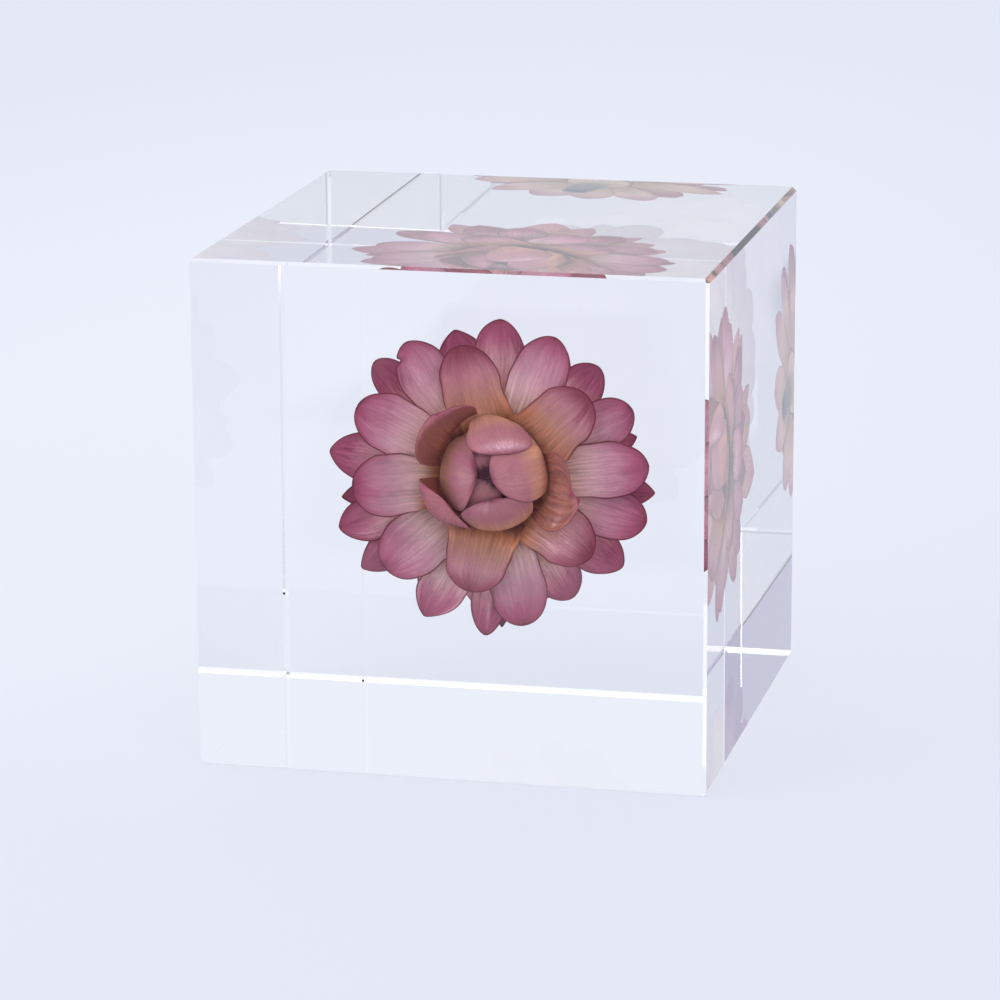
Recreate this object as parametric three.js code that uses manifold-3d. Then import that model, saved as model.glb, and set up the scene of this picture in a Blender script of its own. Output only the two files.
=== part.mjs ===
// A dried strawflower head sealed in a clear cast resin cube, in millimetres.
// The cube stands on z = 0 with its front towards -Y. The flower has a frame of its own:
// x to the right, y up and z out of the flower, towards the front of the cube.

import * as THREE from 'three';
import { ConvexGeometry } from 'three/addons/geometries/ConvexGeometry.js';
import { mergeVertices } from 'three/addons/utils/BufferGeometryUtils.js';
import Module from 'manifold-3d';

const wasm = await Module();
wasm.setup();

// Resin block
const CUBE = 40; // edge length
const CHAMFER = 0.25; // bevel on every edge, measured along the faces
const PARTING_Y = 1; // plane where the front and back halves meet
const POCKET_SIDES = 40;
// Pocket round the flower, as radius and height along the flower's axis
const POCKET = [
  [0, -7.4], [4.0, -7.4], [4.8, -6.1], [12.3, -6.1], [13.75, -4.9],
  [13.75, 2.6], [11.8, 3.9], [8.9, 4.9], [6.6, 5.7], [0, 5.7],
];

// Place of the flower in the block
const FLOWER_CENTRE = [0.4, 1.5, 20.4];
const TILT_UP = 5; // degrees above straight forward
const TILT_RIGHT = 3; // degrees to the right of straight forward

// Flat bracts rise from the receptacle as nested bowls, one bowl for each level
const BRACT_THICKNESS = 0.16;
const BRACT_ROOT = 3; // distance of a bract's root from the flower's axis
const BOWL_SPAN = 10; // distance over which a bowl flattens out
const BOWL_CURVE = 1.5;
const LEVEL_STEP = 0.3;
const LOWEST_ROOT = -3.6; // height of the lowest level's root
const TIP_WIDTH = 0.1; // width of the blunt end, as a share of the greatest width
const RISE_BY_LEVEL = [0, 0, 2.28, 2.55, 2.82, 3.09, 3.36, 3.63, 3.95];
const ROUND_END = 0.5; // exponent of a round tip's outline
const POINT_SHARPENING = 0.4; // what a fully pointed tip adds to that exponent
const MEAN_SQUARE = 1 / 3; // mean of across squared, so that dishing leaves a bract's mean height

// Rings of flat bracts: lowest level, width at the root as a share of the greatest width, where
// along its length a bract is widest, and how far its edges stand above its middle
const RINGS = {
  back: { level: 0, waist: 0.6, widest: 0.6, camber: 0.1 },
  outer: { level: 2, waist: 0.5, widest: 0.72, camber: 0.15 },
  middle: { level: 5, waist: 0.55, widest: 0.68, camber: 0.25 },
  inner: { level: 8, waist: 1.3, widest: 0.62, camber: 0.3 },
};

// Each row: angle from the right in degrees, reach, half width, level within the ring,
// pointedness of the tip, sideways lean of the tip and how far the tip droops to the back
const OUTER_BRACTS = [
  [88, 12.9, 2.05, 1, 0.3, 0, 0], [48.5, 12.5, 1.9, 0, 0.1, 0, 0], [19.5, 12.05, 1.3, 1, 0.9, 0, 0],
  [358.5, 12.9, 1.4, 2, 0.8, 0, 0], [325.5, 12.2, 1.9, 1, 0.4, 0.6, 0], [304, 11.2, 2.0, 0, 0.1, 0, 1.2],
  [273.5, 11.85, 0.9, 0, 0.9, 0, 0], [267.7, 12.5, 1.4, 1, 0.4, 0, 0], [247, 12.4, 1.95, 2, 0.7, -0.6, 0],
  [214, 13.1, 1.6, 0, 0.7, 0.3, 0], [199.5, 13.2, 1.85, 1, 0.5, 0, 0], [188.8, 12.45, 1.2, 0, 0.9, 0, 0],
  [171.8, 13.3, 2.0, 2, 0.6, 0, 0], [138, 13.3, 1.7, 0, 0.2, -0.3, 0], [105, 12.3, 2.0, 0, 0.7, 0.2, 1.0],
];
const MIDDLE_BRACTS = [
  [67, 12.7, 2.25, 1, 0.1, 0, 0], [29.5, 12.7, 2.1, 0, 0, 0, 0], [8.5, 12.6, 2.25, 1, 0.1, 0, 0],
  [348, 12.6, 2.2, 0, 0.1, 0, 0], [284, 11.7, 2.3, 1, 0, 0, 0], [220.5, 11.35, 2.55, 0, 0, 0, 0],
  [184.5, 11.2, 2.5, 2, 0, 0, 0], [152.8, 12.2, 2.4, 1, 0, 0, 0], [123.2, 12.9, 2.2, 0, 0.2, 0, 0],
];
const INNER_BRACTS = [
  [102, 11.1, 2.4, -1, 0, 0.3, 0], [43.5, 10.5, 2.5, 0, 0, 0, 0],
  [325, 9.8, 2.4, -1, 0.2, 0, 0], [260, 9.0, 2.5, 0, 0.1, -0.1, 0],
];
const BACK_BRACTS = [
  [19.5, 11.3, 1.9, 1, 0.5, 0, 0.1], [33, 11.4, 1.2, 0, 0.9, 0, 0.1], [62, 11.7, 1.6, 1, 0.9, 0, 0.1],
  [78.5, 10.9, 2.1, 0, 0.7, 0, 1.3], [121, 11.4, 1.7, 1, 0.6, 0, 0.7], [150, 11.3, 2.1, 0, 0.4, 0, 0.5],
  [186, 11.2, 2.1, 1, 0.4, 0, 0.7], [212, 11.0, 2.0, 0, 0.7, 0, 1.3], [240, 11.5, 2.1, 1, 0.2, 0, 0.4],
  [263, 10.6, 2.0, 0, 0.2, 0, 0.1], [293, 10.4, 2.1, 1, 0.2, 0, 0.6], [354, 11.5, 2.2, 0, 0.8, 0, 1.8],
];

// The bud sits a little off the flower's axis
const BUD_CENTRE = [-0.1, 0.45, 0.4];
const BUD_RADIUS = 4.28;
const BUD_TALL = 1.02; // stretch of the bud along the flower's y
const BUD_DIMPLE = 0.75; // depth of the hollow where the bud bracts meet
const DIMPLE_ANGLE = 20;
const DIMPLE_TILT = 10; // how far the hollow lies to the left of the bud's top
const BUD_ROOT_ANGLE = 90; // polar angle of a bud bract's root
// Each row: direction, polar angle of the tip, half spread in degrees, shell offset, width at the root
// as a share of the spread, where along its length the bract is widest and how far its tip is turned
// to the right about the flower's y
const BUD_BRACTS = [
  [90, 25, 34, 0.44, 0.4, 0.68, 30], [16, 1, 36, 0.22, 0.75, 0.6, 0], [284, 23, 43, 0, 0.75, 0.55, 0],
  [175, 15, 47, -0.22, 0.75, 0.55, 0], [110, 0, 36, -0.46, 0.75, 0.55, 0], [235, -6, 36, -0.7, 0.75, 0.6, 0],
];

// Cup bracts: direction, half spread in degrees, where along its length the bract is widest, lean of
// its tip in degrees, the places across where it leaves its first profile and meets its last, and
// these profiles, each as radius from the bud's centre and height
const BEHIND = [[5.05, 0.3], [5.2, 1.0], [5.45, 2.1], [5.85, 3.3], [6.3, 4.0]];
const FLARED = [[4.45, 0.3], [4.9, 1.0], [5.45, 2.1], [6.0, 3.3], [6.6, 4.0]];
const SPLAYED = [[4.75, 0.3], [5.3, 1.1], [6.0, 2.0], [6.8, 2.9], [7.5, 3.5]];
const UPRIGHT = [[4.75, 0.3], [4.95, 1.0], [5.25, 2.2], [5.65, 3.4], [6.1, 4.1]];
const ROLLED = [[4.35, 0.3], [5.1, 1.2], [5.6, 2.2], [5.3, 3.0], [4.9, 3.3]];
const CURLED = [[4.35, 0.3], [4.9, 1.1], [5.1, 1.8], [4.7, 2.5], [4.2, 2.8]];
const CUP_BRACTS = [
  [140.5, 33, 0.4, 0, [-1, 0.3], BEHIND, FLARED], [354, 30, 0.5, -4, [-0.6, 1], SPLAYED, UPRIGHT],
  [214, 31, 0.85, 0, [-1, 0.6], ROLLED, CURLED],
];
const CUP_WAIST = 1;

// Receptacle and stem stub, as radius and height, with a shallow hollow in the cut end
const RECEPTACLE = [
  [0, -6.3], [0.8, -6.4], [0.95, -6.8], [1.25, -6.8], [1.35, -4.6], [1.9, -4.0],
  [2.85, -3.7], [2.85, -0.9], [2.65, 0.2], [2.3, 1.4], [1.5, 2.2], [0, 2.5],
];
const RECEPTACLE_SIDES = 24;
const STUB_TOP = -4; // height below which the stub leans
const STUB_LEAN = [0.45, 0.5]; // drift of the stub's axis in x and y, for each unit of height

// Grids of the shells, as rows from root to tip and columns across
const GRIDS = { outer: [7, 5], middle: [8, 5], inner: [8, 5], back: [6, 5], cup: [7, 7], bud: [9, 7] };
const ROW_CROWDING = 1.6; // above 1, rows crowd towards the tip
const NUDGE = 1e-3; // step along a surface for its tangents
const WELD = 1e-4; // corners nearer than this are one

const COLOURS = {
  resin: 0xeef0fb, outer: 0xa4507e, middle: 0xb26c86, inner: 0xa9706c, cup: 0x8a5a48,
  bud: 0xb87f78, back: 0xd8c49a, receptacle: 0x8c8a8c,
};

const radians = THREE.MathUtils.degToRad;

function paper(colour) {
  return new THREE.MeshStandardMaterial({
    color: colour, roughness: 0.55, metalness: 0, side: THREE.DoubleSide,
  });
}

function clearResin() {
  return new THREE.MeshStandardMaterial({
    color: COLOURS.resin, roughness: 0.05, metalness: 0, transparent: true, opacity: 0.25,
  });
}

// Relative half width of a bract along its length: it widens from the waist and closes to a
// round end, or to a point as pointedness goes to 1.
function outline(along, waist, widest, pointedness) {
  if (along < widest) {
    return waist + (1 - waist) * Math.sin((Math.PI / 2) * (along / widest));
  }
  const end = (along - widest) / (1 - widest);
  return Math.max((1 - end * end) ** (ROUND_END + POINT_SHARPENING * pointedness), TIP_WIDTH);
}

// Height of a level's bowl at a distance from the flower's axis.
function bowlHeight(distance, level) {
  const out = THREE.MathUtils.clamp((distance - BRACT_ROOT) / BOWL_SPAN, 0, 1);
  const root = LOWEST_ROOT + level * LEVEL_STEP;
  return root + RISE_BY_LEVEL[level] * (1 - (1 - out) ** BOWL_CURVE);
}

// Middle surface of a flat bract: along goes from root to tip, across from -1 to 1.
function flatBract([angle, reach, halfWidth, level, point, lean, droop], ring) {
  const turn = radians(angle);
  return (along, across) => {
    const forward = BRACT_ROOT + (reach - BRACT_ROOT) * along;
    const side = across * halfWidth * outline(along, ring.waist, ring.widest, point) + lean * along ** 2;
    const x = forward * Math.cos(turn) - side * Math.sin(turn);
    const y = forward * Math.sin(turn) + side * Math.cos(turn);
    const dish = ring.camber * along * (across * across - MEAN_SQUARE);
    const height = bowlHeight(Math.hypot(x, y), ring.level + level);
    return new THREE.Vector3(x, y, height + dish - droop * along * along);
  };
}

// Middle surface of a cup bract: a profile carried round the bud's centre, going smoothly from the
// first profile to the last.
function cupBract(direction, halfSpread, widest, lean, change, first, last) {
  const [from, to] = [first, last].map((profile) => (
    new THREE.CatmullRomCurve3(profile.map(([r, z]) => new THREE.Vector3(r, 0, z)))));
  return (along, across) => {
    const share = THREE.MathUtils.clamp(along, 0, 1);
    const over = THREE.MathUtils.smoothstep(across, ...change);
    const { x: radius, z: height } = from.getPoint(share).lerp(to.getPoint(share), over);
    const spread = halfSpread * outline(along, CUP_WAIST, widest, 0);
    const turn = radians(direction + across * spread + lean * along * along);
    return new THREE.Vector3(
      BUD_CENTRE[0] + radius * Math.cos(turn), BUD_CENTRE[1] + radius * Math.sin(turn), height);
  };
}

// Middle surface of a bud bract: a patch of a round shell with a hollow near its top.
function budBract(direction, tipAngle, halfSpread, offset, waist, widest, right) {
  const turn = radians(direction);
  const hollow = new THREE.Vector3(-Math.sin(radians(DIMPLE_TILT)), 0, Math.cos(radians(DIMPLE_TILT)));
  return (along, across) => {
    const polar = radians(BUD_ROOT_ANGLE + (tipAngle - BUD_ROOT_ANGLE) * along);
    const aside = radians(across * halfSpread * outline(along, waist, widest, 0));
    const forward = Math.sin(polar) * Math.cos(aside);
    const side = Math.sin(aside);
    const place = new THREE.Vector3(
      forward * Math.cos(turn) - side * Math.sin(turn),
      forward * Math.sin(turn) + side * Math.cos(turn),
      Math.cos(polar) * Math.cos(aside));
    place.applyAxisAngle(THREE.Object3D.DEFAULT_UP, radians(right * along));
    const fromHollow = place.angleTo(hollow) / radians(DIMPLE_ANGLE);
    place.multiplyScalar(BUD_RADIUS + offset - BUD_DIMPLE * Math.exp(-fromHollow * fromHollow));
    place.y *= BUD_TALL;
    return place.add(new THREE.Vector3(...BUD_CENTRE));
  };
}

// Closed thin shell round a middle surface: an inner grid, an outer grid and a rim.
function shell(surface, [rows, columns]) {
  const inner = [];
  const outer = [];
  for (let i = 0; i < rows; i++) {
    const along = 1 - (1 - i / (rows - 1)) ** ROW_CROWDING;
    for (let j = 0; j < columns; j++) {
      const across = (2 * j) / (columns - 1) - 1;
      const middle = surface(along, across);
      const lengthwise = surface(along, across).sub(surface(along - NUDGE, across));
      const sideways = surface(along, across + NUDGE).sub(surface(along, across - NUDGE));
      const half = lengthwise.cross(sideways).setLength(BRACT_THICKNESS / 2);
      inner.push(middle.clone().add(half));
      outer.push(middle.sub(half));
    }
  }
  const index = [];
  const quad = (a, b, c, d) => index.push(a, b, c, a, c, d);
  const count = rows * columns;
  for (let i = 0; i < rows - 1; i++) {
    for (let j = 0; j < columns - 1; j++) {
      const a = i * columns + j;
      const b = a + columns;
      quad(a, b, b + 1, a + 1);
      quad(count + a, count + a + 1, count + b + 1, count + b);
    }
  }
  for (let i = 0; i < rows - 1; i++) {
    const low = i * columns;
    const high = low + columns - 1;
    quad(low, count + low, count + low + columns, low + columns);
    quad(high, high + columns, count + high + columns, count + high);
  }
  for (let j = 0; j < columns - 1; j++) {
    const tip = (rows - 1) * columns + j;
    quad(j, j + 1, count + j + 1, count + j);
    quad(tip, count + tip, count + tip + 1, tip + 1);
  }
  const geometry = new THREE.BufferGeometry().setFromPoints([...inner, ...outer]);
  geometry.setIndex(index);
  geometry.computeVertexNormals();
  return geometry;
}

// Solid of revolution about the flower's own z axis.
function turned(profile, sides) {
  const points = profile.map(([radius, height]) => new THREE.Vector2(radius, height));
  return new THREE.LatheGeometry(points, sides).rotateX(Math.PI / 2);
}

function toSolid(geometry) {
  const bare = geometry.clone();
  bare.deleteAttribute('normal');
  bare.deleteAttribute('uv');
  const merged = mergeVertices(bare, WELD);
  return new wasm.Manifold(new wasm.Mesh({
    numProp: 3,
    vertProperties: new Float32Array(merged.attributes.position.array),
    triVerts: new Uint32Array(merged.index.array),
  }));
}

function toGeometry(solid) {
  const { vertProperties, triVerts } = solid.getMesh();
  const geometry = new THREE.BufferGeometry();
  geometry.setAttribute('position', new THREE.BufferAttribute(vertProperties, 3));
  geometry.setIndex(new THREE.BufferAttribute(triVerts, 1));
  geometry.computeVertexNormals();
  return geometry;
}

function named(name, geometry, material) {
  const mesh = new THREE.Mesh(geometry, material);
  mesh.name = name;
  return mesh;
}

// The cube with all its edges chamfered, as the hull of three points at each corner.
function chamferedCube() {
  const half = CUBE / 2;
  const inset = half - CHAMFER;
  const corners = [];
  for (const x of [-1, 1]) {
    for (const y of [-1, 1]) {
      for (const z of [-1, 1]) {
        corners.push(new THREE.Vector3(x * half, y * inset, z * inset));
        corners.push(new THREE.Vector3(x * inset, y * half, z * inset));
        corners.push(new THREE.Vector3(x * inset, y * inset, z * half));
      }
    }
  }
  return new ConvexGeometry(corners).translate(0, 0, half);
}

// One half of the block: the cube on one side of the parting plane, less the pocket.
function blockHalf(cube, pocket, side) {
  const reach = 2 * CUBE;
  const room = new THREE.BoxGeometry(reach, reach, reach);
  room.translate(0, PARTING_Y + (side * reach) / 2, 0);
  return toGeometry(toSolid(cube).intersect(toSolid(room)).subtract(toSolid(pocket)));
}

// The receptacle with its stub leaning to one side.
function receptacle() {
  const geometry = turned(RECEPTACLE, RECEPTACLE_SIDES);
  const { position } = geometry.attributes;
  for (let i = 0; i < position.count; i++) {
    const below = Math.min(position.getZ(i) - STUB_TOP, 0);
    position.setX(i, position.getX(i) + STUB_LEAN[0] * below);
    position.setY(i, position.getY(i) + STUB_LEAN[1] * below);
  }
  geometry.computeVertexNormals();
  return geometry;
}

function ring(kind, rows, surface) {
  return rows.map((row, i) => (
    named(`${kind}_bract_${i + 1}`, shell(surface(row), GRIDS[kind]), paper(COLOURS[kind]))));
}

function flatRing(kind, rows) {
  return ring(kind, rows, (row) => flatBract(row, RINGS[kind]));
}

const flower = new THREE.Group();
flower.position.set(...FLOWER_CENTRE);
flower.rotation.set(radians(90 - TILT_UP), radians(TILT_RIGHT), 0);
flower.add(
  ...flatRing('outer', OUTER_BRACTS),
  ...flatRing('middle', MIDDLE_BRACTS),
  ...flatRing('inner', INNER_BRACTS),
  ...flatRing('back', BACK_BRACTS),
  ...ring('cup', CUP_BRACTS, (row) => cupBract(...row)),
  ...ring('bud', BUD_BRACTS, (row) => budBract(...row)),
  named('receptacle', receptacle(), paper(COLOURS.receptacle)),
);
flower.updateMatrix();

const cube = chamferedCube();
const pocket = turned(POCKET, POCKET_SIDES).applyMatrix4(flower.matrix);

const strawflowerBlock = new THREE.Group();
strawflowerBlock.add(
  named('resin_front', blockHalf(cube, pocket, -1), clearResin()),
  named('resin_back', blockHalf(cube, pocket, 1), clearResin()),
  flower,
);

export default strawflowerBlock;
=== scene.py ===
"""A dried strawflower head sealed in a clear resin cube.

The flower is worked out in millimetres in a frame of its own, with x to the right, y up and z out of
the flower towards the front of the block, and placed() turns that into metres in the block's frame.
"""

import bpy
import numpy as np
from mathutils import Matrix, Vector


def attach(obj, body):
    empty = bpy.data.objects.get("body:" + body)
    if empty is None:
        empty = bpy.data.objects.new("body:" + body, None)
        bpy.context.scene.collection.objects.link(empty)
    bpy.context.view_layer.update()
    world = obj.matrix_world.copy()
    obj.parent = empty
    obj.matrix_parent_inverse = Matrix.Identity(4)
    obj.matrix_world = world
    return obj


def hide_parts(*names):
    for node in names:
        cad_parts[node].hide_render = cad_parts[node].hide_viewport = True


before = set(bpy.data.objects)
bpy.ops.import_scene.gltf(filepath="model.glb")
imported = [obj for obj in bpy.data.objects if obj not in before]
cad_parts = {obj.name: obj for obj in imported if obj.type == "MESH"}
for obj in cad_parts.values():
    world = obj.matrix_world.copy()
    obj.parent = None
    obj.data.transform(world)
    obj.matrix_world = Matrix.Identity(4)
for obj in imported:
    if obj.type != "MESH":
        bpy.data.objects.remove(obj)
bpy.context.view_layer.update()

MM = 0.001

# Camera, from the block's corners and refracted edges in the photograph
CAMERA_AZIMUTH = 13.157
CAMERA_ELEVATION = 14.189
CAMERA_ROLL = -0.2734
CAMERA_DISTANCE = 348.0 * MM
CAMERA_TARGET = Vector((-0.5645, 0.0, 17.229)) * MM
SENSOR = 36.0
LENS = 4.3353 * SENSOR
NEAREST = 10.0 * MM

# Resin block, with chamfers measured along the faces; keys are the signs of an edge's middle
CUBE = 40.0
CHAMFER = 0.25
SPECIAL_CHAMFERS = {(1, 0, 1): 0.35}
RESIN_INDEX = 1.53
RESIN_TINT = (0.86, 0.87, 0.96, 1)
RESIN_DENSITY = 2.0
FLOOR_DROP = 0.06 * MM
FLOOR_SIZE = 6.0

# Place of the flower in the block
FLOWER_CENTRE = (0.4, 1.5, 20.4)
TILT_UP = 5.0
TILT_RIGHT = 3.0

# Flat bracts rise from the receptacle as nested bowls, one bowl for each level
BRACT_THICKNESS = 0.13
BRACT_ROOT = 3.0
BOWL_SPAN = 10.0
BOWL_CURVE = 1.5
LEVEL_STEP = 0.3
LOWEST_ROOT = -3.6
TIP_WIDTH = 0.03
RISE_BY_LEVEL = (0, 0, 2.28, 2.55, 2.82, 3.09, 3.36, 3.63, 3.95)

# Rings of flat bracts: lowest level, width at the root as a share of the greatest width, where along
# its length a bract is widest, how far its edges stand above its middle, how far its tip bends back,
# the height of its edges' ripple and the height of its lengthwise pleats
RINGS = {
    "back": dict(level=0, waist=0.6, widest=0.6, camber=0.1, recurve=0.0, ripple=0.03, pleat=0.02),
    "outer": dict(level=2, waist=0.5, widest=0.72, camber=0.15, recurve=0.15, ripple=0.06, pleat=0.02),
    "middle": dict(level=5, waist=0.55, widest=0.68, camber=0.25, recurve=0.2, ripple=0.05, pleat=0.018),
    "inner": dict(level=8, waist=1.3, widest=0.62, camber=0.3, recurve=0.25, ripple=0.06, pleat=0.025),
}

# Each row: angle from the right in degrees, reach, half width, level within the ring, pointedness of
# the tip, sideways lean of the tip and how far the tip droops to the back
OUTER_BRACTS = (
    (88, 12.9, 2.05, 1, 0.3, 0, 0), (48.5, 12.5, 1.9, 0, 0.1, 0, 0), (19.5, 12.05, 1.3, 1, 0.9, 0, 0),
    (358.5, 12.9, 1.4, 2, 0.8, 0, 0), (325.5, 12.2, 1.9, 1, 0.4, 0.6, 0), (304, 11.2, 2.0, 0, 0.1, 0, 1.2),
    (273.5, 11.85, 0.9, 0, 0.9, 0, 0), (267.7, 12.5, 1.4, 1, 0.4, 0, 0), (247, 12.4, 1.95, 2, 0.7, -0.6, 0),
    (214, 13.1, 1.6, 0, 0.7, 0.3, 0), (199.5, 13.2, 1.85, 1, 0.5, 0, 0), (188.8, 12.45, 1.2, 0, 0.9, 0, 0),
    (171.8, 13.3, 2.0, 2, 0.6, 0, 0), (138, 13.3, 1.7, 0, 0.2, -0.3, 0), (105, 12.3, 2.0, 0, 0.7, 0.2, 1.0),
)
MIDDLE_BRACTS = (
    (67, 12.7, 2.25, 1, 0.1, 0, 0), (29.5, 12.7, 2.1, 0, 0, 0, 0), (8.5, 12.6, 2.25, 1, 0.1, 0, 0),
    (348, 12.6, 2.2, 0, 0.1, 0, 0), (284, 11.7, 2.3, 1, 0, 0, 0), (220.5, 11.35, 2.55, 0, 0, 0, 0),
    (184.5, 11.2, 2.5, 2, 0, 0, 0), (152.8, 12.2, 2.4, 1, 0, 0, 0), (123.2, 12.9, 2.2, 0, 0.2, 0, 0),
)
INNER_BRACTS = (
    (102, 11.1, 2.4, -1, 0, 0.3, 0), (43.5, 10.5, 2.5, 0, 0, 0, 0),
    (325, 9.8, 2.4, -1, 0.2, 0, 0), (260, 9.0, 2.5, 0, 0.1, -0.1, 0),
)
BACK_BRACTS = (
    (19.5, 11.3, 1.9, 1, 0.5, 0, 0.1), (33, 11.4, 1.2, 0, 0.9, 0, 0.1), (62, 11.7, 1.6, 1, 0.9, 0, 0.1),
    (78.5, 10.9, 2.1, 0, 0.7, 0, 1.3), (121, 11.4, 1.7, 1, 0.6, 0, 0.7), (150, 11.3, 2.1, 0, 0.4, 0, 0.5),
    (186, 11.2, 2.1, 1, 0.4, 0, 0.7), (212, 11.0, 2.0, 0, 0.7, 0, 1.3), (240, 11.5, 2.1, 1, 0.2, 0, 0.4),
    (263, 10.6, 2.0, 0, 0.2, 0, 0.1), (293, 10.4, 2.1, 1, 0.2, 0, 0.6), (354, 11.5, 2.2, 0, 0.8, 0, 1.8),
)

# Bud bracts: direction, polar angle of the tip, half spread in degrees, shell offset, width at the root
# as a share of the spread, where along its length the bract is widest and how far it is turned to the
# right about the flower's y beyond the first stretch of its length
BUD_CENTRE = (-0.1, 0.45, 0.4)
BUD_RADIUS = 4.28
BUD_TALL = 1.02
BUD_DIMPLE = 0.75
DIMPLE_ANGLE = 20.0
DIMPLE_TILT = 10.0
BUD_ROOT_ANGLE = 90.0
BUD_TURN_STRETCH = 0.35
BUD_BRACTS = (
    (95, 25, 35, 0.44, 0.2, 0.68, 23), (20, 5, 38, 0.22, 0.75, 0.45, 0), (284, 23, 43, 0.0, 0.75, 0.55, 0),
    (175, 15, 47, -0.22, 0.75, 0.55, 0), (110, 0, 36, -0.46, 0.75, 0.55, 0),
    (235, -6, 36, -0.7, 0.75, 0.6, 0),
)

# Cup bracts: direction, half spread in degrees, where along its length the bract is widest, lean of its
# tip in degrees, the places across where it leaves its first profile and meets its last, and these
# profiles, each as radius from the bud's centre and height
BEHIND = ((5.05, 0.3), (5.2, 1.0), (5.45, 2.1), (5.85, 3.3), (6.3, 4.0))
FLARED = ((4.45, 0.3), (4.9, 1.0), (5.45, 2.1), (6.0, 3.3), (6.6, 4.0))
SPLAYED = ((4.62, 0.7), (5.35, 1.4), (6.05, 2.1), (6.8, 2.8), (7.45, 3.4))
UPRIGHT = ((4.62, 0.7), (5.1, 1.4), (5.6, 2.2), (6.1, 3.0), (6.6, 3.7))
ROLLED = ((4.35, 0.3), (5.1, 1.1), (5.65, 2.0), (5.1, 2.95), (3.9, 3.3))
CURLED = ((4.42, 0.3), (4.5, 0.9), (4.55, 1.5), (4.3, 2.1), (4.0, 2.4))
CUP_BRACTS = (
    (138.5, 35, 0.5, -7, (-1, 0.3), BEHIND, FLARED), (350.5, 34, 0.3, 0, (-0.8, 1), SPLAYED, UPRIGHT),
    (217, 33, 0.42, 0, (-0.2, 1), ROLLED, CURLED),
)
CUP_WAIST = 1.0

# Receptacle and leaning stem stub as radius and height, with a hollow in the cut end
RECEPTACLE = (
    (0, -6.3), (0.8, -6.4), (0.95, -6.8), (1.25, -6.8), (1.35, -4.6), (1.9, -4.0),
    (2.85, -3.7), (2.85, -0.9), (2.65, 0.2), (2.3, 1.4), (1.5, 2.2), (0, 2.5),
)
RECEPTACLE_SIDES = 96
RECEPTACLE_ROWS = 60
STUB_TOP = -4.0
STUB_LEAN = (0.45, 0.5)

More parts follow.
